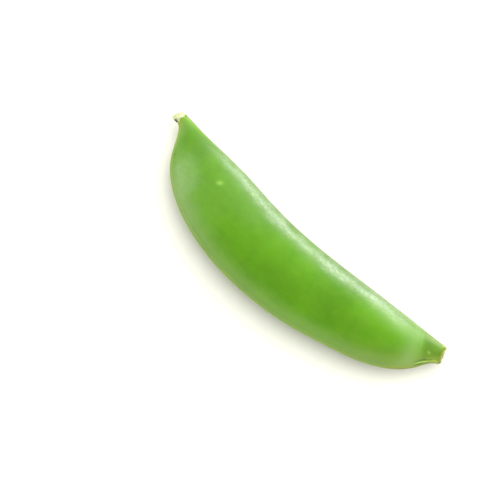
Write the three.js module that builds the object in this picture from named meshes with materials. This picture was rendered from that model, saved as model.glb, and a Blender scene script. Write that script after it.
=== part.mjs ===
// A fresh green pea pod, picked with the short neck of its stalk and laid on one side.
// It grew as one piece: two valves meet along a seed-bearing edge and a back edge, the
// broken stump of the style stands at one end, and the neck is cut across at the other.
//
// Millimetres, +Z up. +X runs to the stem end and +Y to the seed-bearing edge. The pod
// lies on a small flat of its lower valve, and the origin is under the middle of its box.

import * as THREE from 'three';

// ---- Driving dimensions -------------------------------------------------------------

// Cross stations from the style to the cut neck. Each gives a point of the seed-bearing
// edge, the point of the back edge across from it, and half of the pod's thickness there.
const STATIONS = [
  { seed: [-39.6, 1.75], back: [-40.2, -0.6], half: 0.65 }, // broken end of the style
  { seed: [-38.9, 1.75], back: [-38.7, -0.7], half: 0.95 }, // foot of the style
  { seed: [-37.2, 1.7], back: [-37.5, -1.8], half: 1.4 }, // beak
  { seed: [-35.2, 1.45], back: [-36.1, -4.3], half: 2.1 },
  { seed: [-32.2, 1.2], back: [-34.05, -8.1], half: 3.05 }, // shoulder of the beak
  { seed: [-27.5, 1.05], back: [-29.9, -12.0], half: 3.95 },
  { seed: [-20.5, 0.8], back: [-22.8, -15.6], half: 4.7 },
  { seed: [-11.0, -0.25], back: [-12.5, -18.05], half: 5.1 },
  { seed: [-2.5, -0.6], back: [-2.5, -18.4], half: 5.2 }, // widest and thickest
  { seed: [6.5, -0.25], back: [6.5, -17.6], half: 5.1 },
  { seed: [16.0, 0.55], back: [16.5, -15.2], half: 4.7 },
  { seed: [23.5, 1.15], back: [25.5, -12.45], half: 4.0 },
  { seed: [28.0, 1.5], back: [31.5, -9.05], half: 3.15 },
  { seed: [31.0, 1.65], back: [34.75, -5.5], half: 2.35 }, // ring where the neck begins
  { seed: [33.4, 1.8], back: [35.9, -3.4], half: 1.95 },
  { seed: [35.4, 1.98], back: [36.9, -2.2], half: 1.75 }, // neck
  { seed: [37.2, 2.1], back: [38.3, -1.3], half: 1.7 }, // cut across the stalk
];
const NECK_RING_STATION = 13;

// A valve bulges a little more sharply than an ellipse, so the edges come out keeled.
const KEEL = 1.1;

// The seed-bearing edge carries two fine cords with a groove between them.
const CORD_HEIGHT = 0.22;
const CORD_OFFSET = 0.38;
const CORD_WIDTH = 0.3;
// The back edge carries a single raised line.
const BACK_LINE_HEIGHT = 0.18;
const BACK_LINE_WIDTH = 0.32;
// Both keep to this last share of the way out from the middle of a valve to its edge,
// and they sink away where half the thickness is less than this.
const RELIEF_SHARE = 0.3;
const RELIEF_FULL_HALF = 2;

// The seeds swell both valves gently, nearer to the edge that they hang from.
const SEED_PITCH = 7.4;
const SEED_COUNT = 8;
const FIRST_SEED_X = -27;
const SEED_SWELL = 0.12;
const SEED_LENGTH_SPREAD = 2.7;
const SEED_ACROSS = 0.15; // 0 is the middle of a valve, 1 the seed-bearing edge
const SEED_ACROSS_SPREAD = 0.5;

// A faint ring marks where the flower sat, at the start of the neck.
const NECK_RING_HEIGHT = 0.12;
const NECK_RING_SPREAD = 0.25; // in stations

// Both ends are broken or cut a little unevenly, and their faces are dished.
const END_UNEVEN = 0.12;
const END_UNEVEN_SPREAD = 0.35; // in stations
const END_DISH = 0.3;

const ROLL = THREE.MathUtils.degToRad(4); // brings the pod's weight over its lowest point
const REST_FLAT_DEPTH = 0.3; // how far the lower valve is pressed in where it rests

// Mesh steps
const RING_SPACING = 1.15;
const LEAST_RINGS = 3; // between two stations
const AROUND = 40;
const EDGE_CROWDING = 0.55; // 0 spaces the points round a section evenly

// ---- Form ---------------------------------------------------------------------------

const LAST = STATIONS.length - 1;

function curveThrough(toPoint) {
  return new THREE.CatmullRomCurve3(STATIONS.map(toPoint), false, 'centripetal');
}

const seedEdge = curveThrough(({ seed }) => new THREE.Vector3(seed[0], seed[1], 0));
const backEdge = curveThrough(({ back }) => new THREE.Vector3(back[0], back[1], 0));
const halfThickness = curveThrough(({ half }, index) => new THREE.Vector3(index, half, 0));

function hump(distance, spread) {
  return Math.exp(-((distance / spread) ** 2));
}

// How far the seeds push a valve out, at a place along the pod and across it.
function seedSwelling(x, across) {
  let rise = 0;
  for (let seed = 0; seed < SEED_COUNT; seed += 1) {
    rise += hump(x - (FIRST_SEED_X + seed * SEED_PITCH), SEED_LENGTH_SPREAD);
  }
  return SEED_SWELL * rise * hump(across - SEED_ACROSS, SEED_ACROSS_SPREAD);
}

// How far the cords or the line stand out of an edge, at a height above its middle.
function edgeRelief(across, height, half) {
  const room = Math.min(1, half / RELIEF_FULL_HALF) * hump(1 - Math.abs(across), RELIEF_SHARE);
  if (across > 0) {
    const upper = hump(height - CORD_OFFSET, CORD_WIDTH);
    const lower = hump(height + CORD_OFFSET, CORD_WIDTH);
    return room * CORD_HEIGHT * (upper + lower);
  }
  return room * BACK_LINE_HEIGHT * hump(height, BACK_LINE_WIDTH);
}

// How far a point of an end stands in or out, going round the section.
function unevenness(angle) {
  return END_UNEVEN * (Math.sin(2 * angle + 0.6) + 0.6 * Math.sin(5 * angle + 1.9));
}

// One point of the skin: place counts stations, and angle goes round the section from
// the seed-bearing edge by the upper valve to the back edge.
function skinPoint(place, angle) {
  const seed = seedEdge.getPoint(place / LAST);
  const back = backEdge.getPoint(place / LAST);
  const half = halfThickness.getPoint(place / LAST).y;
  const point = seed.clone().add(back).multiplyScalar(0.5);
  const outwards = seed.clone().sub(back).multiplyScalar(0.5);
  const halfChord = outwards.length();
  outwards.normalize();

  const across = Math.cos(angle);
  const lift = Math.sign(Math.sin(angle)) * Math.abs(Math.sin(angle)) ** KEEL;
  const ring = NECK_RING_HEIGHT * hump(place - NECK_RING_STATION, NECK_RING_SPREAD);
  const height = lift * (half + ring + seedSwelling(point.x, across));
  const relief = Math.sign(across) * edgeRelief(across, height, half);
  point.addScaledVector(outwards, across * halfChord + relief);
  point.z = height;

  const nearEnd = hump(place, END_UNEVEN_SPREAD) + hump(LAST - place, END_UNEVEN_SPREAD);
  point.x += nearEnd * unevenness(angle);
  return point;
}

// Places of the rings of points, about evenly spaced along the back edge.
function ringPlaces() {
  const places = [0];
  for (let station = 0; station < LAST; station += 1) {
    const here = backEdge.getPoint(station / LAST);
    const next = backEdge.getPoint((station + 1) / LAST);
    const rings = Math.max(LEAST_RINGS, Math.round(here.distanceTo(next) / RING_SPACING));
    for (let ring = 1; ring <= rings; ring += 1) places.push(station + ring / rings);
  }
  return places;
}

// Angles round a section, closer together at the two edges, where the relief is fine.
function sectionAngles() {
  const angles = [];
  for (let step = 0; step < AROUND; step += 1) {
    const even = (2 * Math.PI * step) / AROUND;
    angles.push(even - (EDGE_CROWDING / 2) * Math.sin(2 * even));
  }
  return angles;
}

// The middle of an end, sunk into the pod by the dish.
function dishedMiddle(ring, inwards) {
  const middle = new THREE.Vector3();
  ring.forEach((point) => middle.add(point));
  middle.divideScalar(ring.length);
  middle.x += inwards * END_DISH;
  return middle;
}

// Lays the skin's points on the ground: rolled, pressed flat underneath, and moved so
// that the origin is under the middle of the box.
function layDown(points) {
  const lengthwise = new THREE.Vector3(1, 0, 0);
  points.forEach((point) => point.applyAxisAngle(lengthwise, -ROLL));
  const ground = Math.min(...points.map((point) => point.z)) + REST_FLAT_DEPTH;
  points.forEach((point) => point.setZ(Math.max(point.z, ground)));
  const middle = new THREE.Box3().setFromPoints(points).getCenter(new THREE.Vector3());
  points.forEach((point) => point.sub(middle.clone().setZ(ground)));
}

function podGeometry() {
  const angles = sectionAngles();
  const rings = ringPlaces().map((place) => angles.map((angle) => skinPoint(place, angle)));
  const points = rings.flat();
  const styleEnd = points.push(dishedMiddle(rings[0], 1)) - 1;
  const stalkEnd = points.push(dishedMiddle(rings.at(-1), -1)) - 1;
  layDown(points);

  const triangles = [];
  const lastRing = (rings.length - 1) * AROUND;
  for (let step = 0; step < AROUND; step += 1) {
    const next = (step + 1) % AROUND;
    triangles.push(styleEnd, next, step);
    for (let first = 0; first < lastRing; first += AROUND) {
      const second = first + AROUND;
      triangles.push(first + step, first + next, second + next);
      triangles.push(first + step, second + next, second + step);
    }
    triangles.push(stalkEnd, lastRing + step, lastRing + next);
  }

  const geometry = new THREE.BufferGeometry().setFromPoints(points);
  geometry.setIndex(triangles);
  geometry.computeVertexNormals();
  return geometry;
}

// ---- Model --------------------------------------------------------------------------

const podSkin = new THREE.MeshStandardMaterial({ color: 0x6fae2e, roughness: 0.36, metalness: 0 });
const pod = new THREE.Mesh(podGeometry(), podSkin);
pod.name = 'pod';

const group = new THREE.Group();
group.name = 'pea_pod';
group.add(pod);

export default group;
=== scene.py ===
"""A fresh green pea pod, picked with its short neck and laid on one side.

The pod grew as one piece. Its two valves meet along a seed-bearing edge, which carries two
fine cords, and a back edge with a single raised line. One end is drawn out into a beak with
the torn stump of the style, and the other into a neck that was snapped off its stalk.
Lengths are in millimetres, apart from the softboxes' and those whose names end in _m, which
are in metres. Meshes are written in metres.
"""

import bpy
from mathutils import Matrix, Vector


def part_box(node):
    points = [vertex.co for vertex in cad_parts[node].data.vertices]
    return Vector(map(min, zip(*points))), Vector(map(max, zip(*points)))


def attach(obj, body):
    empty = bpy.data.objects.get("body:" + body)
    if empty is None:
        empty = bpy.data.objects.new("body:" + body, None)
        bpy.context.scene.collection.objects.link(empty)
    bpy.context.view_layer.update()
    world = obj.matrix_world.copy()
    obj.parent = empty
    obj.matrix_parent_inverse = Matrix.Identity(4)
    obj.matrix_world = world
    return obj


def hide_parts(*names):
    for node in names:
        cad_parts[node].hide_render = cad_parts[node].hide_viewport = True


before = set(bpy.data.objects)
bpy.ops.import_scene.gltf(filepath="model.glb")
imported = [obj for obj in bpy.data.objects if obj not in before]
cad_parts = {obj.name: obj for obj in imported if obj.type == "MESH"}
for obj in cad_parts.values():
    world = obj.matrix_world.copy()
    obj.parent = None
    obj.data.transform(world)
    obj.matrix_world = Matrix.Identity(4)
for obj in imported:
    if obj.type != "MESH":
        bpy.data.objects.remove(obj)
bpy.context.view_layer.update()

import logging
import math
from dataclasses import dataclass, field, fields
from enum import Enum
from typing import Any

import bpy
import numpy as np
from mathutils import Vector, noise

LOG = logging.getLogger("pea_pod")
MM = 0.001
BODY = "root"
NODE = "pod"

# Sockets of Blender's Mix node when it mixes colours
MIX_A, MIX_B, MIX_RESULT = 6, 7, 2

Grid = np.ndarray
Pair = tuple[float, float]
Triple = tuple[float, float, float]
Face = tuple[int, ...]
Tree = bpy.types.NodeTree
Socket = bpy.types.NodeSocket


class Edge(Enum):
    """The two edges along which the valves of a pod meet."""

    SEED = "seed"
    BACK = "back"


class Zone(Enum):
    """What the skin's mesh carries for its finish, point by point."""

    ALONG = "along_mm"
    GIRTH = "girth_mm"
    SEED_MARGIN = "seed_margin"
    BACK_MARGIN = "back_margin"
    EDGE_LINE = "edge_line"
    # paler green, partly wax bloom and partly painted sheen
    BLOOM_AND_SHEEN = "bloom_and_sheen"
    NECK = "neck"
    NECK_RING = "neck_ring"
    # where the wax coat lies thick, and with it the painted white highlight
    GLOSS_SIDE = "gloss_side"
    # painted shade, laid as a darker green
    SHADED = "painted_shade"
    DULL = "dull"
    SEAM_RIDGE = "seam_ridge"
    SEAM_YELLOW = "seam_yellow"
    # sunk creases beside the seam, darkened with painted shade
    SEAM_CREASE_AND_SHADE = "seam_crease_and_shade"
    TORN_RIM = "torn_rim"
    SPOT = "pale_spot"
    SPECK = "brown_speck"


# ---- Nodes and meshes ---------------------------------------------------------------


def linear(hex_colour: str) -> tuple[float, float, float, float]:
    """Turns an sRGB hex colour to linear light.

    Args:
        hex_colour: The colour as six hex digits.

    Returns:
        Red, green, blue and an alpha of one.
    """
    parts = [int(hex_colour[i : i + 2], 16) / 255 for i in (0, 2, 4)]
    red, green, blue = (
        part / 12.92 if part <= 0.04045 else ((part + 0.055) / 1.055) ** 2.4 for part in parts
    )
    return red, green, blue, 1.0


def per_metre(size_mm: float) -> float:
    """The texture scale that repeats once in a size given in millimetres."""
    return 1 / (size_mm * MM)


def direction(azimuth_deg: float, elevation_deg: float) -> Vector:
    """A direction seen from the pod, of length one; azimuth zero is towards its neck."""
    turn, rise = math.radians(azimuth_deg), math.radians(elevation_deg)
    return Vector(
        (math.cos(turn) * math.cos(rise), math.sin(turn) * math.cos(rise), math.sin(rise))
    )


def add_node(
    tree: Tree, kind: str, settings: dict[str | int, Any] | None = None,
    links: dict[str | int, Socket] | None = None, output: str | int = 0,
) -> Socket | None:
    """Adds one node with its settings and links.

    Args:
        tree: The node tree that the node joins.
        kind: Blender's name of the node's type, without the ShaderNode before it.
        settings: Properties of the node by name, and input values by name or number.
        links: Sockets that feed the node's inputs, by the input's name or number.
        output: The output wanted, by name or number.

    Returns:
        That output's socket, or None if the node has no output.
    """
    node = tree.nodes.new("ShaderNode" + kind)
    for key, value in (settings or {}).items():
        if isinstance(key, str) and key not in node.inputs:
            setattr(node, key, value)
        else:
            node.inputs[key].default_value = value
    for key, socket in (links or {}).items():
        tree.links.new(socket, node.inputs[key])
    return node.outputs[output] if node.outputs else None


def new_material(name: str) -> tuple[bpy.types.Material, Tree, Socket]:
    """Makes a material whose only node gives the place on the object.

    Args:
        name: The material's name.

    Returns:
        The material, its node tree, and the socket with the object's coordinates.
    """
    material = bpy.data.materials.new(name)
    material.use_nodes = True
    tree = material.node_tree
    tree.nodes.clear()
    return material, tree, add_node(tree, "TexCoord", output="Object")


def lay_colour(tree: Tree, base: Socket, colour: str, share: Socket, most: float) -> Socket:
    """Lays a colour over the ones below it.

    Args:
        tree: The node tree.
        base: The colour below.
        colour: The new colour as six hex digits.
        share: Where the new colour lies, from zero to one.
        most: The part of the new colour where the share is one.

    Returns:
        The socket of the mixed colour.
    """
    settings = {"operation": "MULTIPLY", 1: most, "use_clamp": True}
    held = add_node(tree, "Math", settings, {0: share})
    return add_node(
        tree, "Mix", {"data_type": "RGBA", MIX_B: linear(colour)}, {0: held, MIX_A: base}, MIX_RESULT
    )


def closed_tube(rings: Grid, recess: int = 0) -> tuple[Grid, list[Face]]:
    """Joins rings of points to a tube and closes each of its ends with a fan.

    Args:
        rings: Rings of points.
        recess: How many rings further in the middle of each fan lies.

    Returns:
        All the points as rows of three, and the corner numbers of each face.
    """
    count, around = rings.shape[:2]
    last, start, end = (count - 1) * around, count * around, count * around + 1
    faces = []
    for first in range(0, last, around):
        for step in range(around):
            here, after = first + step, first + (step + 1) % around
            faces.append((here, after, after + around, here + around))
    for step in range(around):
        after = (step + 1) % around
        faces.append((start, after, step))
        faces.append((end, last + step, last + after))
    middles = rings[[recess, -1 - recess]].mean(axis=1)
    return np.vstack([rings.reshape(-1, 3), middles]), faces


def mesh_object(name: str, points: Grid, faces: list[Face]) -> bpy.types.Object:
    """Makes a smooth-shaded mesh object at the origin.

    Args:
        name: The piece's name.
        points: Rows of three, in millimetres in the part's frame.
        faces: Corner numbers of each face.

    Returns:
        The new object, linked to the scene.
    """
    mesh = bpy.data.meshes.new(name)
    mesh.from_pydata((points * MM).tolist(), [], faces)
    mesh.polygons.foreach_set("use_smooth", [True] * len(mesh.polygons))
    mesh.update()
    piece = bpy.data.objects.new(name, mesh)
    bpy.context.scene.collection.objects.link(piece)
    return piece


def carry(piece: bpy.types.Object, name: str, values: Grid) -> None:
    """Writes one number per point into a piece's mesh, for its finish to read.

    Args:
        piece: The piece.
        name: The name under which the finish finds the numbers.
        values: A number for each point; points past the last of them get zero.
    """
    made = piece.data.attributes.new(name, "FLOAT", "POINT")
    padded = np.zeros(len(piece.data.vertices), np.float32)
    padded[: values.size] = values.ravel()
    made.data.foreach_set("value", padded)


def dress(piece: bpy.types.Object, material: bpy.types.Material) -> bpy.types.Object:
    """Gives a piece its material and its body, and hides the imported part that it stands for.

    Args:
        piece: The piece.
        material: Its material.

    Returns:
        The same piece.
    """
    piece.data.materials.append(material)
    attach(piece, BODY)
    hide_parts(NODE)
    return piece


# ---- Soft regions of the skin ---------------------------------------------------------


def hump(distance: Grid, spread: float | Grid) -> Grid:
    """A smooth bump of height one, which falls away over the spread."""
    return np.exp(-((distance / spread) ** 2))


@dataclass(frozen=True)
class Hump:
    """A smooth bump of height one round its centre."""

    centre: float
    spread: float

    def at(self, value: Grid) -> Grid:
        """The bump's height at each value."""
        return hump(value - self.centre, self.spread)


@dataclass(frozen=True)
class Ramp:
    """A smooth rise from zero at its start to one at its end; the start may be the larger."""

    start: float | Grid
    end: float | Grid

    def at(self, value: Grid) -> Grid:
        """The ramp's height at each value."""
        share = np.clip((value - self.start) / (self.end - self.start), 0, 1)
        return share * share * (3 - 2 * share)

    def turned(self) -> "Ramp":
        """The fall from one to zero over the same stretch."""
        return Ramp(self.end, self.start)


@dataclass(frozen=True)
class Wander:
    """Smooth random heights: the greatest, about how far apart they lie, and the pattern."""

    height: float
    size: float
    pattern: float

    def at(self, points: Grid) -> Grid:
        """Reads the heights.

        Args:
            points: Places as an array whose last axis holds three coordinates.

        Returns:
            A height for each place.
        """
        shift = Vector((self.pattern, -self.pattern, 2 * self.pattern))
        heights = [noise.noise(Vector(place) + shift) for place in points.reshape(-1, 3) / self.size]
        return self.height * np.array(heights).reshape(points.shape[:-1])


@dataclass(frozen=True)
class Lie:
    """Where the points of the skin lie: rings of points, and a grid for each measure."""

    points: Grid  # before the pod is laid down
    x: Grid  # along the pod's straight axis, from its middle towards the neck
    station: Grid  # cross stations from the end of the beak
    along: Grid  # along the curved pod, from its first ring
    across: Grid  # from -1 at the back edge to 1 at the seed-bearing edge
    lean: Grid  # the same, on lines that lean over towards the neck
    off_gloss: Grid  # the same, from the middle line of the gloss
    from_seed: Grid  # round the skin from the seed-bearing edge
    from_back: Grid  # round the skin from the back edge
    upper: Grid  # 1 on the upper valve, 0 on the lower one


Band = Hump | Ramp | None


@dataclass(frozen=True)
class Wash:
    """A soft region of the skin: how strong it is, and the bands of the lie that bound it."""

    strength: float = 1.0
    x: Band = None
    station: Band = None
    across: Band = None
    lean: Band = None
    off_gloss: Band = None
    from_seed: Band = None
    from_back: Band = None
    upper: Band = None

    def over(self, lie: Lie) -> Grid:
        """Works out the region's strength.

        Args:
            lie: Where the points lie.

        Returns:
            The strength at each point.
        """
        share = np.full_like(lie.x, self.strength)
        for measure in fields(lie):
            band = getattr(self, measure.name, None)
            if band is not None:
                share *= band.at(getattr(lie, measure.name))
        return share


def add_up(washes: tuple[Wash, ...], lie: Lie) -> Grid:
    """The strength of several regions together."""
    return sum(wash.over(lie) for wash in washes)


@dataclass(frozen=True)
class Mark:
    """A small mark on the upper valve: its place, its half sizes, and its strength."""

    x: float
    y: float
    length: float
    width: float
    strength: float = 1.0

    def over(self, lie: Lie) -> Grid:
        """The mark's strength at each point."""
        off = np.hypot((lie.x - self.x) / self.length, (lie.points[..., 1] - self.y) / self.width)
        return self.strength * hump(off, 1.0) * lie.upper


# Station of the ring where the neck begins
NECK_STATION = 13

# Bands that several regions share: the beak and the narrowing valves by x, the neck and the
# stretch before it by station, the strip below the seed-bearing edge, and the upper valve
BEAK = Ramp(-27.0, -35.0)
CONE = Hump(26.0, 6.5)
NECK = Ramp(NECK_STATION - 0.2, NECK_STATION + 0.6)
OFF_NECK = NECK.turned()
NEAR_NECK = Ramp(11.2, 12.4)
UNDER_EDGE = Hump(0.86, 0.26)
UPPER = Ramp(0.0, 1.0)


# ---- Finishes -----------------------------------------------------------------------


@dataclass(frozen=True)
class Mottle:
    """Soft patches of noise.

    Its fields are the patches' size, the levels of noise at which they begin and are full,
    the finer noise in them and its strength, and the values outside and inside them.
    """

    size_mm: float
    low: float
    high: float
    detail: float = 3.0
    roughness: float = 0.55
    outside: float = 0.0
    inside: float = 1.0

    def draw(self, tree: Tree, place: Socket) -> Socket:
        """Adds the nodes that draw the patches.

        Args:
            tree: The node tree.
            place: Coordinates in metres.

        Returns:
            The socket of the patches' value.
        """
        settings = {
            "Scale": per_metre(self.size_mm), "Detail": self.detail, "Roughness": self.roughness
        }
        cloud = add_node(tree, "TexNoise", settings, {"Vector": place})
        settings = {
            "interpolation_type": "SMOOTHSTEP", "From Min": self.low, "From Max": self.high,
            "To Min": self.outside, "To Max": self.inside,
        }
        return add_node(tree, "MapRange", settings, {"Value": cloud})


@dataclass(frozen=True)
class Tint:
    """A colour of one of the skin's zones, and the most of it that shows."""

    zone: Zone
    colour: str
    most: float


@dataclass(frozen=True)
class PodSkinFinish:
    """Living pod skin: a thin green cuticle grown over juicy flesh, with a waxy bloom.

    The flesh below it glows a little. A whitish tint along the seed-bearing side, partly
    wax bloom and partly painted highlight, spreads the gloss into a broad satin band, and the
    fine net of cells breaks that band up. Painted shade and painted sheen lie in the green too.
    """

    deep_green: str = "467904"
    fresh_green: str = "508506"
    lime: str = "6c9418"
    # grey-green of the wax bloom, also laid as painted sheen
    bloom: str = "7f9f60"
    # whitish tint of wax bloom, laid as a painted highlight along the gloss
    wax_and_highlight_white: str = "e4f2e2"
    # The zones' colours in the order in which they are laid, below the wax and painted
    # highlight and over it
    below_wax: tuple[Tint, ...] = (
        # painted shade: darker green where the valve should look shaded
        Tint(Zone.SHADED, "2c4c02", 0.45),
        # partly wax bloom, partly painted sheen
        Tint(Zone.BLOOM_AND_SHEEN, bloom, 0.5),
        Tint(Zone.NECK, "466911", 0.75),
    )
    over_wax: tuple[Tint, ...] = (
        Tint(Zone.NECK_RING, bloom, 0.2),
        Tint(Zone.SEED_MARGIN, "759b30", 0.8),
        Tint(Zone.BACK_MARGIN, "7c962e", 0.8),
        Tint(Zone.EDGE_LINE, "73783c", 0.55),
        # painted shade in the seam's creases
        Tint(Zone.SEAM_CREASE_AND_SHADE, "1c3606", 0.9),
        Tint(Zone.SEAM_RIDGE, "8fb45c", 0.75),
        Tint(Zone.SEAM_YELLOW, "8d9a2c", 0.7),
        Tint(Zone.TORN_RIM, "77842f", 0.85),
        Tint(Zone.SPOT, "8fb650", 0.75),
        Tint(Zone.SPECK, "3d3d16", 0.9),
    )
    lime_most: float = 0.16
    vein_most: float = 0.04
    wax_and_highlight_most: float = 0.115
    clouds: Mottle = Mottle(11.0, 0.34, 0.66)
    mottle: Mottle = Mottle(1.6, 0.3, 0.75, 4.0)
    wax_and_highlight_drifts: Mottle = Mottle(3.5, 0.15, 0.85, outside=0.55, inside=1.45)
    # Flakes of wax are some 0.01 mm across in life, and only their heaps are drawn.
    wax_and_highlight_crumbs: Mottle = Mottle(0.65, 0.38, 0.7, 2.0, outside=0.55, inside=1.3)
    # Veins run lengthwise, a little aslant to the edges. Their noise is drawn on the skin
    # squeezed until a vein measures 1 mm each way.
    veins: Mottle = Mottle(1.0, 0.5, 0.78, 2.0, 0.5)
    vein_mm: Pair = (8.0, 0.8)
    vein_slant: float = 0.22
    # Cells are 0.05 mm across in life, drawn about eight times coarser so that they show.
    cell_mm: float = 0.42
    cell_depth: float = 0.006
    # Pebbling and shallow wrinkles: size across and depth
    ripples_mm: tuple[Pair, ...] = ((0.5, 0.042), (2.2, 0.06))
    # How bold the relief is and how thick the wax, off the bloomy side and on it
    boldness: Pair = (0.3, 1.5)
    wax: Pair = (0.25, 0.6)
    bloomy_from: float = 0.5
    dull_wax: float = 0.2
    # Roughness between the mottles and in them
    roughness: Pair = (0.33, 0.45)
    dull_roughness: float = 0.2
    glow_mm: Triple = (0.7, 1.0, 0.25)

    def material(self) -> bpy.types.Material:
        """Builds the node material.

        Returns:
            The material, which reads its zones from the mesh.
        """
        made, tree, place = new_material("living_pod_skin_waxy")
        zone = {
            kind: add_node(tree, "Attribute", {"attribute_name": kind.value}, output="Fac")
            for kind in Zone
        }
        mottle = self.mottle.draw(tree, place)
        least, most = self.roughness
        rough = add_node(tree, "MapRange", {"To Min": least, "To Max": most}, {"Value": mottle})
        rough = add_node(
            tree, "Math", {"operation": "MULTIPLY_ADD", 1: self.dull_roughness},
            {0: zone[Zone.DULL], 2: rough},
        )

        # Glossy wax: more on the bloomy side, less on dull places
        thin, thick = self.wax
        wax = add_node(
            tree, "MapRange", {"From Max": self.bloomy_from, "To Min": thin, "To Max": thick},
            {"Value": zone[Zone.GLOSS_SIDE]},
        )
        kept = add_node(
            tree, "MapRange", {"To Min": 1.0, "To Max": self.dull_wax}, {"Value": zone[Zone.DULL]}
        )
        wax = add_node(tree, "Math", {"operation": "MULTIPLY"}, {0: wax, 1: kept})

        bump = self.relief(tree, place, zone[Zone.GLOSS_SIDE])
        pigment = self.pigment(tree, place, zone, mottle)
        shader = add_node(
            tree, "BsdfPrincipled",
            {
                "IOR": 1.42,
                "Specular IOR Level": 0.38,
                "Subsurface Weight": 0.3,
                "Subsurface Radius": self.glow_mm,
                "Subsurface Scale": MM,
                "Coat Roughness": 0.36,
                "Coat IOR": 1.55,
                "Sheen Weight": 0.02,
                "Sheen Roughness": 0.45,
            },
            {
                "Base Color": pigment, "Roughness": rough, "Normal": bump,
                "Coat Weight": wax, "Coat Normal": bump,
            },
        )
        add_node(tree, "OutputMaterial", None, {"Surface": shader})
        return made

    def pigment(
        self, tree: Tree, place: Socket, zone: dict[Zone, Socket], mottle: Socket
    ) -> Socket:
        """Adds the nodes of the colour.

        Args:
            tree: The node tree.
            place: The object's coordinates.
            zone: The zones' values.
            mottle: The fine mottle.

        Returns:
            The socket of the colour.
        """
        greens = {
            "data_type": "RGBA", MIX_A: linear(self.deep_green), MIX_B: linear(self.fresh_green)
        }
        base = add_node(tree, "Mix", greens, {0: self.clouds.draw(tree, place)}, MIX_RESULT)
        base = lay_colour(tree, base, self.lime, mottle, self.lime_most)

        length, width = self.vein_mm
        lay = add_node(
            tree, "CombineXYZ", None, {"X": zone[Zone.ALONG], "Y": zone[Zone.GIRTH]}
        )
        settings = {"Rotation": (0, 0, self.vein_slant), "Scale": (MM / length, MM / width, 1)}
        lay = add_node(tree, "Mapping", settings, {"Vector": lay})
        base = lay_colour(tree, base, self.bloom, self.veins.draw(tree, lay), self.vein_most)
        for tint in self.below_wax:
            base = lay_colour(tree, base, tint.colour, zone[tint.zone], tint.most)

        # Painted highlight: a whitish tint of wax bloom in drifts of crumbs, thick along the
        # seed-bearing side where the gloss lies
        wax = zone[Zone.GLOSS_SIDE]
        for heaps in (self.wax_and_highlight_drifts, self.wax_and_highlight_crumbs):
            lying = {0: wax, 1: heaps.draw(tree, place)}
            wax = add_node(tree, "Math", {"operation": "MULTIPLY"}, lying)
        base = lay_colour(tree, base, self.wax_and_highlight_white, wax, self.wax_and_highlight_most)
        for tint in self.over_wax:
            base = lay_colour(tree, base, tint.colour, zone[tint.zone], tint.most)
        return base

    def relief(self, tree: Tree, place: Socket, bloomy: Socket) -> Socket:
        """Adds the nodes of the cells, pebbling and wrinkles.

        Args:
            tree: The node tree.
            place: The object's coordinates.
            bloomy: How bloomy the skin is, since the relief is bolder there.

        Returns:
            The socket of the surface's direction.
        """
        cells = add_node(
            tree, "TexVoronoi",
            {"feature": "SMOOTH_F1", "Scale": per_metre(self.cell_mm), "Smoothness": 0.6},
            {"Vector": place}, "Distance",
        )
        settings = {"Strength": 1.0, "Distance": self.cell_depth * MM}
        bump = add_node(tree, "Bump", settings, {"Height": cells})
        least, most = self.boldness
        bold = add_node(tree, "MapRange", {"To Min": least, "To Max": most}, {"Value": bloomy})
        for size_mm, depth in self.ripples_mm:
            settings = {"Scale": per_metre(size_mm), "Detail": 3.0, "Roughness": 0.55}
            height = add_node(tree, "TexNoise", settings, {"Vector": place})
            height = add_node(tree, "Math", {"operation": "MULTIPLY"}, {0: height, 1: bold})
            settings = {"Strength": 1.0, "Distance": depth * MM}
            bump = add_node(tree, "Bump", settings, {"Height": height, "Normal": bump})
        return bump


@dataclass(frozen=True)
class TornTissueFinish:
    """Torn plant tissue, dried in air: pale, matt and fibrous, browned where it died.

    The fibres scatter light, so it looks chalky beside the waxy skin.
    """

    name: str
    pale: str
    tinge: str
    brown: str
    # Fibres are 0.02 mm thick in life, drawn as bundles so that they show.
    fibre_mm: float = 0.18
    fibre_depth: float = 0.12
    patch_mm: float = 0.7
    # How far the fibres fray the browned places, and where brown begins and is full
    fray: float = 1.6
    brown_levels: Pair = (1.1, 1.6)
    glow_mm: Triple = (0.4, 0.35, 0.15)

    def material(self) -> bpy.types.Material:
        """Builds the node material.

        Returns:
            The material, which reads from the mesh where it has browned.
        """
        made, tree, place = new_material(self.name)
        settings = {"Scale": per_metre(self.patch_mm), "Detail": 3.0}
        patch = add_node(tree, "TexNoise", settings, {"Vector": place})
        settings = {"Scale": per_metre(self.fibre_mm), "Detail": 2.0, "Roughness": 0.6}
        fibre = add_node(tree, "TexNoise", settings, {"Vector": place})
        shade = add_node(
            tree, "Mix", {"data_type": "RGBA", MIX_A: linear(self.pale), MIX_B: linear(self.tinge)},
            {0: patch}, MIX_RESULT,
        )
        dead = add_node(tree, "Attribute", {"attribute_name": "browned"}, output="Fac")
        settings = {"operation": "MULTIPLY_ADD", 1: self.fray}
        frayed = add_node(tree, "Math", settings, {0: fibre, 2: dead})
        low, high = self.brown_levels
        share = add_node(
            tree, "MapRange",
            {"interpolation_type": "SMOOTHSTEP", "From Min": low, "From Max": high},
            {"Value": frayed},
        )
        shade = lay_colour(tree, shade, self.brown, share, 1.0)
        settings = {"Strength": 1.0, "Distance": self.fibre_depth * MM}
        bump = add_node(tree, "Bump", settings, {"Height": fibre})
        shader = add_node(
            tree, "BsdfPrincipled",
            {
                "Roughness": 0.7,
                "IOR": 1.4,
                "Subsurface Weight": 0.35,
                "Subsurface Radius": self.glow_mm,
                "Subsurface Scale": MM,
            },
            {"Base Color": shade, "Normal": bump},
        )
        add_node(tree, "OutputMaterial", None, {"Surface": shader})
        return made


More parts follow.
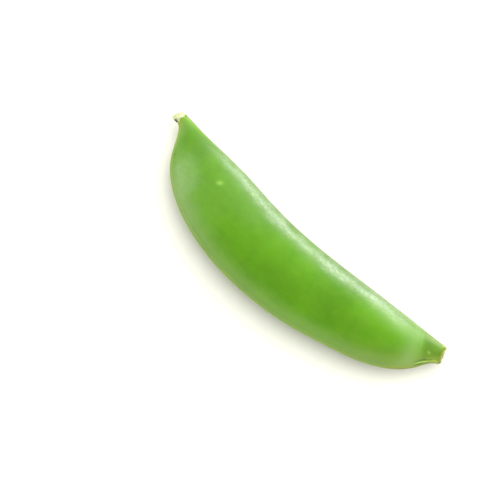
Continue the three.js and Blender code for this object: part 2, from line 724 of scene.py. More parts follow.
@dataclass(frozen=True)
class PaperFinish:
    """Matt white card, pressed smooth: it gives an even white with no shine."""

    white: str = "dddbd2"
    shade: str = "d8d6cc"
    fibre_mm: float = 2.0

    def material(self) -> bpy.types.Material:
        """Builds the node material.

        Returns:
            The material.
        """
        made, tree, place = new_material("matt_white_card")
        fibre = add_node(tree, "TexNoise", {"Scale": per_metre(self.fibre_mm)}, {"Vector": place})
        shade = add_node(
            tree, "Mix", {"data_type": "RGBA", MIX_A: linear(self.white), MIX_B: linear(self.shade)},
            {0: fibre}, MIX_RESULT,
        )
        settings = {"Roughness": 0.95, "Specular IOR Level": 0.05}
        shader = add_node(tree, "BsdfPrincipled", settings, {"Base Color": shade})
        add_node(tree, "OutputMaterial", None, {"Surface": shader})
        return made


# ---- The shape that the pieces share --------------------------------------------------


@dataclass(frozen=True)
class Station:
    """A cross station: a point of each edge and half of the thickness between them."""

    seed: Pair
    back: Pair
    half: float


@dataclass
class PodForm:
    """The form that the pod's pieces share.

    Its stations are the solid's. The cords, the ring and the seeds' swells stand lower than
    on the solid, as they do under the finish of a living pod.
    """

    stations: tuple[Station, ...] = (
        Station((-39.6, 1.75), (-40.2, -0.6), 0.65),  # broken end of the style
        Station((-38.9, 1.75), (-38.7, -0.7), 0.95),  # foot of the style
        Station((-37.2, 1.7), (-37.5, -1.8), 1.4),  # beak
        Station((-35.2, 1.45), (-36.1, -4.3), 2.1),
        Station((-32.2, 1.2), (-34.05, -8.1), 3.05),  # shoulder of the beak
        Station((-27.5, 1.05), (-29.9, -12.0), 3.95),
        Station((-20.5, 0.8), (-22.8, -15.6), 4.7),
        Station((-11.0, -0.25), (-12.5, -18.05), 5.1),
        Station((-2.5, -0.6), (-2.5, -18.4), 5.2),  # widest and thickest
        Station((6.5, -0.25), (6.5, -17.6), 5.1),
        Station((16.0, 0.55), (16.5, -15.2), 4.7),
        Station((23.5, 1.15), (25.5, -12.45), 4.0),
        Station((28.0, 1.5), (31.5, -9.05), 3.15),
        Station((31.0, 1.65), (34.75, -5.5), 2.35),  # ring where the neck begins
        Station((33.4, 1.8), (35.9, -3.4), 1.95),
        Station((35.4, 1.98), (36.9, -2.2), 1.75),  # neck
        Station((37.2, 2.1), (38.3, -1.3), 1.7),  # snapped off the stalk
    )
    # Stations where the skin begins and ends
    skin_start: float = 0.9
    skin_end: float = 15.72
    keel: float = 1.1
    cord_height: float = 0.08
    cord_offset: float = 0.38
    cord_width: float = 0.34
    back_line_height: float = 0.18
    back_line_width: float = 0.32
    relief_share: float = 0.3
    relief_full_half: float = 2.0
    # Place along the pod of each seed, and how far it pushes a valve out
    seeds: tuple[Pair, ...] = (
        (-26.6, 0.05), (-19.9, 0.08), (-12.0, 0.1), (-5.3, 0.06),
        (2.4, 0.11), (9.3, 0.07), (17.4, 0.1), (23.9, 0.05),
    )
    seed_length_spread: float = 2.7
    seed_across: float = 0.15
    seed_across_spread: float = 0.5
    neck_ring_height: float = 0.05
    neck_ring_spread: float = 0.35
    # Waves of the uneven ends: how many go round, how high they are, and their turn
    end_waves: tuple[Triple, ...] = ((2, 0.12, 0.6), (5, 0.072, 1.9))
    end_spread: float = 0.35
    roll_deg: float = 4.0
    flat_depth: float = 0.3
    softening: float = 0.4
    # Where the pod comes to lie, which settle() works out
    ground: float = 0.0
    stretch: Grid = field(default_factory=lambda: np.ones(3))
    shift: Grid = field(default_factory=lambda: np.zeros(3))

    @property
    def last(self) -> int:
        """Number of the last station."""
        return len(self.stations) - 1

    def through(self, knots: Grid, places: Grid) -> Grid:
        """A centripetal Catmull-Rom curve through one knot per station.

        Args:
            knots: Rows of coordinates, one row per station.
            places: Where to read the curve, counted in stations.

        Returns:
            One row of coordinates per place.
        """
        padded = np.vstack([2 * knots[0] - knots[1], knots, 2 * knots[-1] - knots[-2]])
        start = np.clip(np.floor(places).astype(int), 0, self.last - 1)
        share = (places - start)[:, None]
        before, here, there, after = (padded[start + step] for step in range(4))
        enter, cross, leave = (
            np.sqrt(np.linalg.norm(end - begin, axis=1))[:, None]
            for begin, end in ((before, here), (here, there), (there, after))
        )
        step = (there - here) / cross
        slope_here = ((here - before) / enter - (there - before) / (enter + cross) + step) * cross
        slope_there = (step - (after - here) / (cross + leave) + (after - there) / leave) * cross
        return (
            here
            + slope_here * share
            + (3 * (there - here) - 2 * slope_here - slope_there) * share**2
            + (2 * (here - there) + slope_here + slope_there) * share**3
        )

    def softened(self, knots: Grid, places: Grid) -> Grid:
        """The curve through the knots, evened out so that gloss runs over it unbroken.

        Args:
            knots: Rows of coordinates, one row per station.
            places: Where to read the curve, counted in stations.

        Returns:
            One row of coordinates per place.
        """
        reach = np.minimum(self.softening, np.minimum(places, self.last - places))
        before, here, after = (self.through(knots, places + side * reach) for side in (-1, 0, 1))
        return (before + 2 * here + after) / 4

    def edge(self, which: Edge, places: Grid) -> Grid:
        """Points of one edge, in the pod's own plane."""
        knots = np.array([getattr(station, which.value) for station in self.stations])
        return self.softened(knots, places)

    def half_thickness(self, places: Grid) -> Grid:
        """Half of the thickness at each place."""
        knots = np.array([(index, station.half) for index, station in enumerate(self.stations)])
        return self.softened(knots, places)[:, 1]

    def round_section(self, place: float, angles: Grid, reach: Grid, out: Grid) -> Grid:
        """Places points round one cross section, before the pod is laid down.

        Args:
            place: Where the section lies, counted in stations.
            angles: Angles from the seed-bearing edge by the upper valve.
            reach: Distance from the middle, as a share of the section's own half size.
            out: Distance off the section, away from the pod.

        Returns:
            Rows of three coordinates.
        """
        where = np.array([place])
        seed, back = self.edge(Edge.SEED, where)[0], self.edge(Edge.BACK, where)[0]
        chord = np.linalg.norm(seed - back)
        middle, outwards = (seed + back) / 2, (seed - back) / chord
        away = math.copysign(1, middle[0]) * np.array([outwards[1], -outwards[0]])
        across = np.cos(angles) * reach * (chord / 2)
        height = np.sin(angles) * reach * self.half_thickness(where)[0]
        plan = middle + outwards * across[:, None] + away * out[:, None]
        return np.column_stack([plan, height])

    def seed_swelling(self, x: Grid, across: Grid) -> Grid:
        """How far the seeds push a valve out, from x and the place between the edges."""
        rise = sum(swell * hump(x - place, self.seed_length_spread) for place, swell in self.seeds)
        return rise * hump(across - self.seed_across, self.seed_across_spread)

    def edge_relief(self, across: Grid, height: Grid, half: Grid) -> Grid:
        """Works out how far the cords or the back line stand out of an edge.

        Args:
            across: Places from -1 at the back edge to 1 at the seed-bearing edge.
            height: Heights over the plane in which the valves meet.
            half: Half of the thickness.

        Returns:
            The relief at each point.
        """
        room = np.minimum(1, half / self.relief_full_half)
        room = room * hump(1 - np.abs(across), self.relief_share)
        cords = self.cord_height * sum(
            hump(height - side * self.cord_offset, self.cord_width) for side in (1, -1)
        )
        line = self.back_line_height * hump(height, self.back_line_width)
        return room * np.where(across > 0, cords, line)

    def surface(self, places: Grid, angles: Grid) -> Grid:
        """Places the skin's points, before the pod is laid down.

        Args:
            places: Where the rings lie, counted in stations.
            angles: Where the points of a ring lie, from the seed-bearing edge by the
                upper valve to the back edge.

        Returns:
            Rings of points.
        """
        seed, back = self.edge(Edge.SEED, places), self.edge(Edge.BACK, places)
        half = self.half_thickness(places)[:, None]
        middle, outwards = (seed + back) / 2, (seed - back) / 2
        half_chord = np.linalg.norm(outwards, axis=1)[:, None]
        outwards = outwards / half_chord

        across = np.cos(angles)[None, :]
        lift = np.sign(np.sin(angles)) * np.abs(np.sin(angles)) ** self.keel
        ring = self.neck_ring_height * hump(places - NECK_STATION, self.neck_ring_spread)
        swelling = self.seed_swelling(middle[:, :1], across)
        height = lift[None, :] * (half + ring[:, None] + swelling)
        relief = np.sign(across) * self.edge_relief(across, height, half)
        plan = middle[:, None, :] + outwards[:, None, :] * (across * half_chord + relief)[..., None]
        near_end = hump(places, self.end_spread) + hump(self.last - places, self.end_spread)
        waves = sum(rise * np.sin(count * angles + turn) for count, rise, turn in self.end_waves)
        plan[..., 0] += near_end[:, None] * waves[None, :]
        return np.dstack([plan, height])

    def rolled(self, points: Grid) -> Grid:
        """Rolls points of the upright pod over onto the lower valve.

        Args:
            points: The points.

        Returns:
            The same points after the roll.
        """
        roll = math.radians(-self.roll_deg)
        turned = points.copy()
        turned[..., 1] = points[..., 1] * math.cos(roll) - points[..., 2] * math.sin(roll)
        turned[..., 2] = points[..., 1] * math.sin(roll) + points[..., 2] * math.cos(roll)
        return turned

    def settle(self, points: Grid, low: Grid, high: Grid) -> None:
        """Works out where the pod comes to lie, once, before its pieces are laid down.

        Args:
            points: Points of the whole skin.
            low: Lowest corner of the box that the pod fills.
            high: Highest corner of that box.
        """
        self.ground = self.rolled(points)[..., 2].min() + self.flat_depth
        lying = self.lay_down(points)
        least, most = lying.min(axis=(0, 1)), lying.max(axis=(0, 1))
        self.stretch = (high - low) / (most - least)
        self.shift = low - least * self.stretch

    def lay_down(self, points: Grid) -> Grid:
        """Rolls points over, presses the flat underneath and moves them into place.

        Args:
            points: Points of the upright pod.

        Returns:
            The points in the part's frame.
        """
        turned = self.rolled(points)
        turned[..., 2] = np.maximum(turned[..., 2], self.ground)
        return turned * self.stretch + self.shift


# ---- Sub-assemblies -----------------------------------------------------------------


@dataclass
class PodSkin:
    """The skin of both valves with the edges, the beak and the neck."""

    form: PodForm
    finish: PodSkinFinish = PodSkinFinish()
    rings: int = 440
    around: int = 168
    edge_crowding: float = 0.55
    end_crowding: float = 1.4
    end_reach: float = 7.0
    fine_steps: int = 4000
    recess: int = 18

    # The gloss also carries the pigment's painted white highlight.
    # Gloss: its middle line across the skin and how that drifts, its half width towards the
    # edge by x, and its half width inwards in the middle and for each millimetre of x
    gloss_across: float = 0.8
    gloss_drift: float = 0.0018
    gloss_wander: tuple[Wander, ...] = (Wander(0.09, 2.8, 8.2), Wander(0.045, 1.2, 6.6))
    gloss_edgewards: tuple[Triple, Triple] = ((-20, 5, 20), (0.1, 0.12, 0.23))
    gloss_inwards: Pair = (0.19, 0.002)
    gloss_extent: Wash = Wash(x=Ramp(-31, -19), station=Ramp(12.6, 10.6))
    neck_gloss: tuple[Wash, ...] = (
        Wash(0.12, x=CONE, lean=Ramp(0.3, 0.7), station=OFF_NECK),
        Wash(0.6, x=CONE, across=Ramp(0.84, 0.94), station=OFF_NECK),
        Wash(0.55, across=Hump(0.85, 0.3), station=NECK),
    )
    lean_slope: float = 0.022
    lean_from: float = 28.0

    # Pale patch on the beak's shoulder, partly wax bloom and partly a painted reflection: its
    # middle, its direction, its half length and half width, its frayed outline, and how much its
    # soft and its frayed part count
    patch_middle: Pair = (-29.0, -8.8)
    patch_way: Pair = (0.67, -0.74)
    patch_spread: Pair = (5.0, 2.8)
    patch_fray: Wander = Wander(0.25, 1.2, 9.1)
    patch_outline: Ramp = Ramp(0.25, 0.75)
    patch_shares: Pair = (0.68, 0.26)
    patch_gloss: float = 0.45
    patch_bloom_and_sheen: float = 0.85

    # Paler green, partly a thin wax bloom and partly painted sheen: the washes under the gloss,
    # on the flank and shoulder before the neck and over the narrowing valves are painted
    # reflections that widen the gloss
    bloom_and_sheen: tuple[Wash, ...] = (
        Wash(0.03),
        Wash(0.55, x=Ramp(-34, -38)),
        Wash(0.22, x=Hump(-22, 6.5)),
        Wash(0.35, x=Hump(-23, 9), from_back=Ramp(7, 2)),
        Wash(0.2, x=Hump(-13, 6), across=Ramp(-0.1, 0.35)),
        Wash(0.35, x=Ramp(-20, 10), off_gloss=Hump(-0.1, 0.16)),
        Wash(0.35, x=Ramp(18, 28), from_back=Ramp(5, 1.5)),
        Wash(0.75, x=CONE, lean=Hump(0.47, 0.25), station=OFF_NECK),
        Wash(0.5, x=CONE, across=Ramp(0.76, 0.92), station=OFF_NECK),
        Wash(0.74, station=Hump(NECK_STATION - 0.5, 0.5)),
    )

    # Painted shade: darker green below the seed-bearing edge, in the beak's throat, deep in the
    # valve, and below the gloss before the neck
    under_edge: tuple[Wash, ...] = (
        Wash(1.1, across=UNDER_EDGE),
        Wash(-0.5, x=Ramp(-18, -30), across=UNDER_EDGE),
        Wash(-0.5, x=Hump(28, 5), across=UNDER_EDGE),
    )
    throat: Wash = Wash(0.7, x=Hump(-30.5, 4.8), across=Ramp(-0.6, 0.2))
    neck_lightens: float = 0.8
    deep: tuple[Wash, ...] = (
        Wash(0.45, x=Hump(14, 13), across=Hump(-0.2, 0.35)),
        Wash(0.35, x=CONE, across=Hump(0.78, 0.11), station=OFF_NECK),
    )
    dull: tuple[Wash, ...] = (
        Wash(x=BEAK), Wash(station=Ramp(9.6, 12.7)), Wash(0.6, across=Ramp(0.93, 0.99)),
    )
    unevenness: Wander = Wander(0.35, 4.0, 5.3)

    # Pale margins: how far they reach, how far in they are full, and their strength
    seed_reach: tuple[Wash, ...] = (Wash(2.2), Wash(station=NECK))
    seed_full: float = 0.8
    seed_pale: tuple[Wash, ...] = (Wash(0.12), Wash(0.55, x=BEAK), Wash(0.35, station=NECK))
    back_reach: tuple[Wash, ...] = (Wash(1.1), Wash(1.2, x=BEAK), Wash(1.2, station=NEAR_NECK))
    back_full: float = 0.3
    back_pale: tuple[Wash, ...] = (Wash(0.55), Wash(0.45, x=BEAK), Wash(0.45, station=NEAR_NECK))
    back_flank: Wash = Wash(0.22, from_back=Ramp(5, 1.5))

    # Brown lines of the edges, and the ring where the neck begins
    edge_lines: tuple[Wash, ...] = (
        Wash(1.4, x=BEAK, from_back=Hump(0, 0.4)),
        Wash(1.4, station=NEAR_NECK, from_back=Hump(0, 0.4)),
        Wash(0.14, x=BEAK.turned(), from_back=Ramp(7.5, 2.5)),
        Wash(0.3, x=Ramp(15, 28), station=OFF_NECK, from_back=Ramp(7.5, 2.5)),
        # the line on the seed-bearing edge: olive tissue, partly painted shade of the groove between
        # the cords
        Wash(0.5, station=OFF_NECK, from_seed=Hump(0, 0.25)),
        Wash(0.6, x=Ramp(12, 24), from_seed=Hump(1.1, 0.5), upper=UPPER),
    )
    neck_ring: Wash = Wash(station=Hump(NECK_STATION, 0.07), from_back=Ramp(3, 5.5))

    # The torn seam near the neck: stations, and how far the ridge and the creases on its two
    # sides lie from the back edge there
    seam_places: tuple[float, ...] = (12.6, 13.2, 13.8, 14.6, 15.6)
    seam_inset: tuple[float, ...] = (1.35, 1.4, 1.05, 0.7, 0.65)
    seam_upper: tuple[float, ...] = (0.3, 0.5, 0.45, 0.4, 0.4)
    seam_lower: tuple[float, ...] = (0.5, 0.55, 0.45, 0.35, 0.3)
    seam_wander: Wander = Wander(0.12, 0.9, 7.7)
    seam_extent: Wash = Wash(station=Ramp(12.7, 13.1), upper=UPPER)
    seam_width: float = 0.2
    seam_height: float = 0.14
    yellow_extent: Wash = Wash(station=Ramp(14.0, 14.6), upper=UPPER)
    yellow_width: float = 0.3
    # The creases are sunk, and darkened with painted shade
    crease_extent: Wash = Wash(station=Ramp(15.3, 13.9))
    crease_width: float = 0.15
    crease_depth: float = 0.14
    crease_share: float = 0.85
    crease_breaks: Wander = Wander(0.8, 0.8, 3.8)

    # The rim of the snapped neck: how far its brown reaches in, and its ragged lip
    rim_reach: float = 0.15
    rim_blur: float = 0.4
    rim_wander: Wander = Wander(0.3, 0.7, 2.2)
    lip_height: float = 0.1
    lip_wander: Wander = Wander(0.08, 0.7, 4.4)

    # Pale marks; the one at x -15.7 is a painted glint
    spots: tuple[Mark, ...] = (
        Mark(-22.53, -5.57, 0.48, 0.42, 0.62), Mark(-22.09, -5.17, 0.48, 0.42, 0.62),
        Mark(-15.7, -2.15, 0.28, 0.25, 0.55), Mark(34.87, -1.65, 0.35, 0.25, 0.6),
        Mark(36.4, 1.9, 0.4, 0.35, 1.0),
    )
    spot_height: float = 0.03
    specks: tuple[Mark, ...] = (
        Mark(-34.1, -6.7, 0.14, 0.14), Mark(36.75, 1.3, 0.2, 0.2), Mark(-38.5, 1.55, 0.18, 0.18),
    )

    # Relief of the valves, which dies out at their edges, and its extra on the bloomy side
    undulation: tuple[Wander, ...] = (Wander(0.06, 7.0, 3.1), Wander(0.022, 2.8, 8.7))
    flat_by_seed: Ramp = Ramp(0.8, 2.5)
    flat_by_back: Ramp = Ramp(0.6, 2.0)
    bloomy_relief: Wander = Wander(0.05, 2.6, 4.9)
    # The furrow beside the back line, and the half girth over which it comes in
    furrow: Hump = Hump(0.8, 0.28)
    furrow_depth: float = 0.05
    furrow_girth: Ramp = Ramp(2, 6)
    pleats: int = 13
    pleat_depth: float = 0.01
    pleat_wander: Wander = Wander(2.5, 2.5, 6.1)
    beak_pleats: float = 0.6

    def build(self) -> bpy.types.Object:
        """Builds and dresses the skin.

        Returns:
            The finished piece.
        """
        form = self.form
        places, along = self.ring_places()
        even = np.linspace(0, 2 * math.pi, self.around, endpoint=False)
        angles = even - self.edge_crowding / 2 * np.sin(2 * even)
        lie = self.lie(form.surface(places, angles), places, along, angles)
        zones = self.zones(lie)
        points = lie.points + self.normals(lie.points) * self.relief(lie, zones)[..., None]
        low, high = (np.array(corner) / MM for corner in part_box(NODE))
        form.settle(form.surface(np.linspace(0, form.last, self.rings), angles), low, high)
        piece = mesh_object("pod_skin", *closed_tube(form.lay_down(points), self.recess))
        for kind, values in zones.items():
            carry(piece, kind.value, values)
        return dress(piece, self.finish.material())

    def ring_places(self) -> tuple[Grid, Grid]:
        """Spreads the rings along the pod, closer together near its ends.

        Returns:
            The rings' places counted in stations, and their distances along the pod.
        """
        fine = np.linspace(self.form.skin_start, self.form.skin_end, self.fine_steps)
        run = (self.form.edge(Edge.BACK, fine) + self.form.edge(Edge.SEED, fine)) / 2
        steps = np.linalg.norm(np.diff(run, axis=0), axis=1)
        length = np.concatenate([[0], np.cumsum(steps)])
        near_end = hump(length, self.end_reach) + hump(length[-1] - length, self.end_reach)
        crowd = np.concatenate([[0], np.cumsum(steps * (1 + self.end_crowding * near_end[1:]))])
        spread = np.interp(np.linspace(0, crowd[-1], self.rings), crowd, length)
        return np.interp(spread, length, fine), spread

    def normals(self, points: Grid) -> Grid:
        """Works out the outward directions of rings of points.

        Args:
            points: The rings.

        Returns:
            A direction of length one for each point.
        """
        round_it = np.roll(points, -1, axis=1) - np.roll(points, 1, axis=1)
        out = np.cross(np.gradient(points, axis=0), round_it)
        out /= np.linalg.norm(out, axis=2, keepdims=True)
        heart = points.mean(axis=1, keepdims=True)
        return out * np.sign((out * (points - heart)).sum())

    def lie(self, points: Grid, places: Grid, along: Grid, angles: Grid) -> Lie:
        """Measures where the points of the skin lie.

        Args:
            points: Rings of points before the pod is laid down.
            places: The rings' places counted in stations.
            along: The rings' distances along the pod.
            angles: The angles of a ring's points.

        Returns:
            The measures of each point.
        """
        x = points[..., 0]
        across = np.cos(angles) + 0 * x
        step = np.linalg.norm(np.roll(points, -1, axis=1) - points, axis=2)
        travelled = np.cumsum(step, axis=1) - step
        turn = int(np.argmin(np.abs(angles - math.pi)))
        return Lie(
            points=points,
            x=x,
            station=places[:, None] + 0 * x,
            along=along[:, None] + 0 * x,
            across=across,
            lean=across + self.lean_slope * (x - self.lean_from),
            off_gloss=across - self.gloss_across + self.gloss_drift * x,
            from_seed=np.minimum(travelled, step.sum(axis=1, keepdims=True) - travelled),
            from_back=np.abs(travelled - travelled[:, turn : turn + 1]),
            upper=(points[..., 2] > 0).astype(float),
        )

    def patch(self, lie: Lie) -> Grid:
        """Works out the pale patch on the beak's shoulder, partly bloom and partly painted
        reflection.

        Args:
            lie: Where the points lie.

        Returns:
            The patch's strength at each point.
        """
        aside, down = lie.x - self.patch_middle[0], lie.points[..., 1] - self.patch_middle[1]
        way_x, way_y = self.patch_way
        length, width = self.patch_spread
        soft = hump(way_x * aside + way_y * down, length) * hump(way_x * down - way_y * aside, width)
        frayed = self.patch_outline.at(soft + self.patch_fray.at(lie.points))
        return self.patch_shares[0] * soft + self.patch_shares[1] * frayed

    def gloss(self, lie: Lie, patch: Grid) -> Grid:
        """Works out where the skin is bloomy and takes the gloss.

        Args:
            lie: Where the points lie.
            patch: The patch on the beak's shoulder.

        Returns:
            The gloss at each point.
        """
        off_line = lie.off_gloss + sum(wander.at(lie.points) for wander in self.gloss_wander)
        edgewards = np.interp(lie.x, *self.gloss_edgewards)
        inwards = self.gloss_inwards[0] + self.gloss_inwards[1] * lie.x
        band = hump(off_line, np.where(off_line > 0, edgewards, inwards))
        others = np.maximum(add_up(self.neck_gloss, lie), self.patch_gloss * patch)
        return np.maximum(band * self.gloss_extent.over(lie), others)

    def seam(self, lie: Lie) -> tuple[Grid, Grid]:
        """Works out the course of the torn seam.

        Args:
            lie: Where the points lie.

        Returns:
            How far each point is off the seam's ridge, and how deep it is in the creases.
        """
        inset, over, under = (
            np.interp(lie.station, self.seam_places, course)
            for course in (self.seam_inset, self.seam_upper, self.seam_lower)
        )
        off_seam = lie.from_back - inset + self.seam_wander.at(lie.points)
        creases = sum(hump(off_seam + off, self.crease_width) for off in (-over, under))
        kept = np.clip(self.crease_share + self.crease_breaks.at(lie.points), 0, 1)
        return off_seam, creases * kept * self.seam_extent.over(lie)

    def zones(self, lie: Lie) -> dict[Zone, Grid]:
        """Works out what the finish needs to know at each point.

        Args:
            lie: Where the points lie.

        Returns:
            A grid of values for each zone.
        """
        uneven = 1 + self.unevenness.at(lie.points)
        neck = NECK.at(lie.station)
        patch = self.patch(lie)
        off_seam, creases = self.seam(lie)
        seed_margin = Ramp(add_up(self.seed_reach, lie), self.seed_full).at(lie.from_seed * uneven)
        back_margin = Ramp(add_up(self.back_reach, lie), self.back_full).at(lie.from_back * uneven)
        # Painted shade, lifted on the neck
        painted_shade = np.maximum(add_up(self.under_edge, lie), self.throat.over(lie))
        painted_shade = painted_shade * (1 - self.neck_lightens * neck) + add_up(self.deep, lie)
        rim_reach = self.rim_reach + self.rim_wander.at(lie.points)
        rim = Ramp(rim_reach + self.rim_blur, rim_reach)
        return {
            Zone.ALONG: lie.along,
            Zone.GIRTH: lie.from_seed,
            Zone.SEED_MARGIN: seed_margin * add_up(self.seed_pale, lie),
            Zone.BACK_MARGIN: back_margin * add_up(self.back_pale, lie) + self.back_flank.over(lie),
            Zone.EDGE_LINE: add_up(self.edge_lines, lie),
            Zone.BLOOM_AND_SHEEN: (add_up(self.bloom_and_sheen, lie) + self.patch_bloom_and_sheen * patch) * uneven,
            Zone.NECK: neck,
            Zone.NECK_RING: self.neck_ring.over(lie),
            Zone.GLOSS_SIDE: self.gloss(lie, patch) * uneven,
            Zone.SHADED: painted_shade * uneven,
            Zone.DULL: np.clip(add_up(self.dull, lie) + creases, 0, 1),
            Zone.SEAM_RIDGE: hump(off_seam, self.seam_width) * self.seam_extent.over(lie),
            Zone.SEAM_YELLOW: hump(off_seam, self.yellow_width) * self.yellow_extent.over(lie),
            Zone.SEAM_CREASE_AND_SHADE: creases * self.crease_extent.over(lie),
            Zone.TORN_RIM: rim.at(lie.along.max() - lie.along),
            Zone.SPOT: sum(spot.over(lie) for spot in self.spots),
            Zone.SPECK: sum(speck.over(lie) for speck in self.specks),
        }

    def relief(self, lie: Lie, zones: dict[Zone, Grid]) -> Grid:
        """Works out how far each point stands out of the plain form.

        Args:
            lie: Where the points lie.
            zones: The skin's zones.

        Returns:
            The height at each point.
        """
        half_girth = lie.from_seed.max(axis=1, keepdims=True)
        from_back = half_girth - lie.from_seed
        height = sum(wander.at(lie.points) for wander in self.undulation)
        height = height * self.flat_by_seed.at(lie.from_seed) * self.flat_by_back.at(from_back)
        furrow = self.furrow.at(from_back) * self.furrow_girth.at(half_girth)
        turns = lie.from_seed / half_girth * self.pleats * math.pi
        folds = np.sin(turns + self.pleat_wander.at(lie.points))
        ends = np.maximum(zones[Zone.NECK], self.beak_pleats * BEAK.at(lie.x))
        lip = self.lip_height + self.lip_wander.at(lie.points)
        return (
            height
            + self.bloomy_relief.at(lie.points) * np.minimum(zones[Zone.GLOSS_SIDE], 1)
            - self.furrow_depth * furrow
            + self.seam_height * zones[Zone.SEAM_RIDGE]
            - self.crease_depth * zones[Zone.SEAM_CREASE_AND_SHADE]
            + self.pleat_depth * folds * ends
            + lip * zones[Zone.TORN_RIM]
            + self.spot_height * zones[Zone.SPOT]
        )


@dataclass
class TornEnd:
    """A ragged crown of torn tissue that fills an end of the pod.

    The profile runs from inside the skin, out over the rim and back in to the middle. Each
    step is a reach, as a share of the end's own half size, a distance outwards, and how
    ragged it is. Each browned place is a point of three coordinates, a size and a strength.
    """

    form: PodForm
    name: str
    place: float
    finish: TornTissueFinish
    profile: tuple[Triple, ...]
    browned: tuple[tuple[float, ...], ...]
    pattern: float
    around: int = 96
    fill: int = 6
    # Teeth of the tear, read from noise on a circle: its radius, the size of the teeth, how
    # much the finer ones count and how many times finer they are, and how far they spread
    # sideways for each millimetre outwards
    tear_circle: float = 1.6
    tooth: float = 0.3
    fine_share: float = 0.6
    fine_times: float = 2.5
    fine_pattern: float = 5.0
    sideways: float = 0.1
    slant: float = 0.0
    # Lumps on the bare tissue: their height, the share and size of the coarse and the fine
    # ones, the pattern for each direction, and the steps of the profile where they come in
    lumps: float = 0.07
    lump_sizes: tuple[Pair, ...] = ((1.0, 0.5), (0.4, 0.2))
    lump_patterns: Triple = (1.3, 2.9, 4.7)
    bare: Ramp = Ramp(0.5, 2.0)

    def build(self) -> bpy.types.Object:
        """Builds and dresses the crown.

        Returns:
            The finished piece.
        """
        steps = np.array(self.profile)
        marks = np.linspace(0, len(steps) - 1, (len(steps) - 1) * self.fill + 1)
        rings = self.torn_rings(steps, marks)
        rough = np.dstack([
            sum(Wander(part, size, self.pattern + shift).at(rings) for part, size in self.lump_sizes)
            for shift in self.lump_patterns
        ])
        rings = rings + self.lumps * self.bare.at(marks)[:, None, None] * rough
        browned = sum(
            strength * hump(np.linalg.norm(rings - np.array(middle), axis=2), size)
            for *middle, size, strength in self.browned
        )
        piece = mesh_object(self.name, *closed_tube(self.form.lay_down(rings)))
        carry(piece, "browned", browned)
        return dress(piece, self.finish.material())

    def torn_rings(self, steps: Grid, marks: Grid) -> Grid:
        """Places the crown's rings, with the teeth of the tear.

        Args:
            steps: The profile's steps.
            marks: Where the rings lie, counted in steps.

        Returns:
            Rings of points before the pod is laid down.
        """
        angles = np.linspace(0, 2 * math.pi, self.around, endpoint=False)
        circle = self.tear_circle * np.column_stack([np.cos(angles), np.sin(angles), 0 * angles])
        fine = (self.fine_share, self.tooth / self.fine_times, self.pattern + self.fine_pattern)
        tear = Wander(1.0, self.tooth, self.pattern).at(circle) + Wander(*fine).at(circle)
        slant = self.slant * np.cos(angles)
        rings = []
        for mark in marks:
            reach, out, ragged = (np.interp(mark, range(len(steps)), column) for column in steps.T)
            wide = reach + self.sideways * ragged * tear
            away = out + ragged * tear - slant * min(1, max(0, out))
            rings.append(self.form.round_section(self.place, angles, wide, away))
        return np.array(rings)


@dataclass
class StyleStump(TornEnd):
    """The stump of the style, torn off at the end of the beak."""

    name: str = "style_stump"
    place: float = 0.95
    finish: TornTissueFinish = TornTissueFinish(
        "dried_style_tissue_torn", "cdcdb2", "b6bf86", "444a0c"
    )
    profile: tuple[Triple, ...] = (
        (0.5, -0.8, 0.0), (0.9, -0.35, 0.0), (1.0, -0.05, 0.1), (1.08, 0.3, 0.3),
        (1.08, 0.75, 0.35), (0.95, 1.15, 0.4), (0.7, 1.4, 0.4), (0.4, 1.5, 0.3), (0.1, 1.5, 0.2),
    )
    browned: tuple[tuple[float, ...], ...] = (
        (-39.3, -0.95, 0.3, 0.6, 1.2), (-38.9, 0.16, 1.05, 0.35, 0.8),
        (-39.4, 1.6, -0.4, 0.25, 0.8),
    )
    pattern: float = 1.7
    tooth: float = 0.6
    slant: float = 0.35
    lumps: float = 0.22


@dataclass
class StalkCut(TornEnd):
    """The end of the neck, snapped off the stalk: a ragged rim round sunken pith."""

    name: str = "stalk_cut"
    place: float = PodForm.skin_end
    finish: TornTissueFinish = TornTissueFinish(
        "snapped_stalk_pith_dried", "a8ac70", "868e40", "4c4719"
    )
    profile: tuple[Triple, ...] = (
        (0.5, -1.2, 0.0), (0.9, -0.7, 0.0), (0.985, -0.1, 0.05), (0.98, 0.26, 0.2),
        (0.9, 0.16, 0.2), (0.75, -0.06, 0.1), (0.6, 0.02, 0.1), (0.4, -0.18, 0.1),
        (0.1, -0.24, 0.1),
    )
    browned: tuple[tuple[float, ...], ...] = (
        (36.8, 0.95, 1.4, 0.25, 0.8), (37.8, -1.5, 0.4, 0.5, 1.0), (37.3, 0.0, 1.5, 0.5, 0.6),
    )
    pattern: float = 4.2


@dataclass(frozen=True)
class Softbox:
    """A lit panel that faces the pod; its lengths are in metres.

    One that doesn't shine lights the pod without being mirrored in it.
    """

    name: str
    azimuth_deg: float
    elevation_deg: float
    distance: float
    size: Pair
    radiance: float
    colour: str = "ffffff"
    shines: bool = True

    def build(self) -> None:
        """Adds the panel."""
        light = bpy.data.lights.new(self.name, "AREA")
        light.shape = "RECTANGLE"
        light.size, light.size_y = self.size
        light.energy = self.radiance * self.size[0] * self.size[1] * math.pi
        light.color = linear(self.colour)[:3]
        holder = bpy.data.objects.new(self.name, light)
        towards = direction(self.azimuth_deg, self.elevation_deg)
        holder.location = towards * self.distance
        holder.rotation_euler = (-towards).to_track_quat("-Z", "Y").to_euler()
        holder.visible_glossy = self.shines
        bpy.context.scene.collection.objects.link(holder)


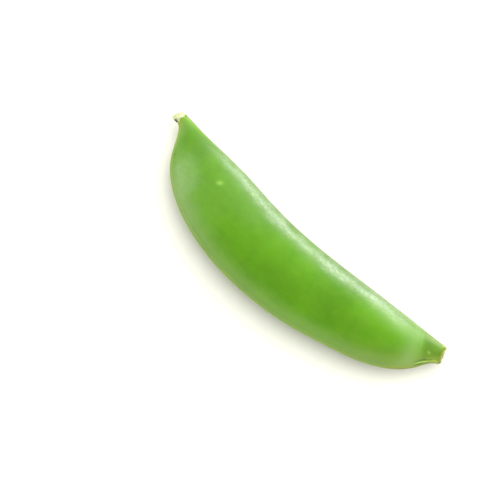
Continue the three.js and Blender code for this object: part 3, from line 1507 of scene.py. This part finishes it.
@dataclass
class Studio:
    """A white sweep in a pale tent, with one long softbox low on the seed-edge side."""

    softboxes: tuple[Softbox, ...] = (
        Softbox("low_softbox", 72, 7, 0.6, (0.7, 0.16), 10.0, "fffdf8"),
        Softbox("overhead_fill", 90, 77, 1.2, (1.5, 1.5), 3.9, shines=False),
    )
    floor_finish: PaperFinish = PaperFinish()
    floor_side: float = 6000.0
    # The tent's light near the horizon and overhead, and the heights at which these begin
    tent_light: Pair = (2.0, 0.0)
    tent_heights: Pair = (0.15, 0.85)
    azimuth_deg: float = -47.3
    elevation_deg: float = 80.0
    lens: float = 150.0
    sensor: float = 36.0
    clip_m: Pair = (0.01, 20.0)
    # The frame's side, its scale, and where the part's origin lies in it
    frame_px: float = 500.0
    px_per_mm: float = 4.61
    origin_px: Pair = (282.75, 267.8)

    def build(self) -> None:
        """Builds the floor, the lights, the world and the camera."""
        self.floor()
        for softbox in self.softboxes:
            softbox.build()
        self.world()
        self.camera()
        bpy.context.scene.view_settings.view_transform = "Standard"

    def floor(self) -> None:
        """Lays the white sweep."""
        half = self.floor_side / 2
        corners = half * np.array([[-1, -1, 0], [1, -1, 0], [1, 1, 0], [-1, 1, 0]])
        floor = mesh_object("floor", corners, [(0, 1, 2, 3)])
        floor.data.materials.append(self.floor_finish.material())

    def world(self) -> None:
        """Surrounds the sweep with a tent that is bright low down and dark overhead."""
        world = bpy.data.worlds.new("pale_tent")
        bpy.context.scene.world = world
        world.use_nodes = True
        tree = world.node_tree
        tree.nodes.clear()
        way = add_node(tree, "TexCoord", output="Generated")
        height = add_node(tree, "SeparateXYZ", None, {0: way}, "Z")
        settings = {
            "From Min": self.tent_heights[0], "From Max": self.tent_heights[1],
            "To Min": self.tent_light[0], "To Max": self.tent_light[1],
        }
        strength = add_node(tree, "MapRange", settings, {"Value": height})
        light = add_node(tree, "Background", {"Color": linear("ffffff")}, {"Strength": strength})
        add_node(tree, "OutputWorld", None, {"Surface": light})

    def camera(self) -> None:
        """Places the camera steeply above the pod."""
        back = direction(self.azimuth_deg, self.elevation_deg)
        right = direction(self.azimuth_deg + 90, 0)
        aside, down = (self.frame_px / 2 - place for place in self.origin_px)
        aim = (right * aside - back.cross(right) * down) / self.px_per_mm * MM
        data = bpy.data.cameras.new("camera")
        data.lens, data.sensor_width = self.lens, self.sensor
        data.clip_start, data.clip_end = self.clip_m
        camera = bpy.data.objects.new("camera", data)
        camera.location = aim + back * (self.frame_px / self.px_per_mm * MM * self.lens / self.sensor)
        camera.rotation_mode = "QUATERNION"
        camera.rotation_quaternion = (-back).to_track_quat("-Z", "Y")
        bpy.context.scene.collection.objects.link(camera)
        bpy.context.scene.camera = camera


def main() -> None:
    """Builds the studio and the pod, and reports each piece."""
    logging.basicConfig(level=logging.INFO)
    Studio().build()
    form = PodForm()
    for part in (PodSkin(form), StyleStump(form), StalkCut(form)):
        piece = part.build()
        LOG.info("%s: %d faces", piece.name, len(piece.data.polygons))


if __name__ == "__main__":
    main()
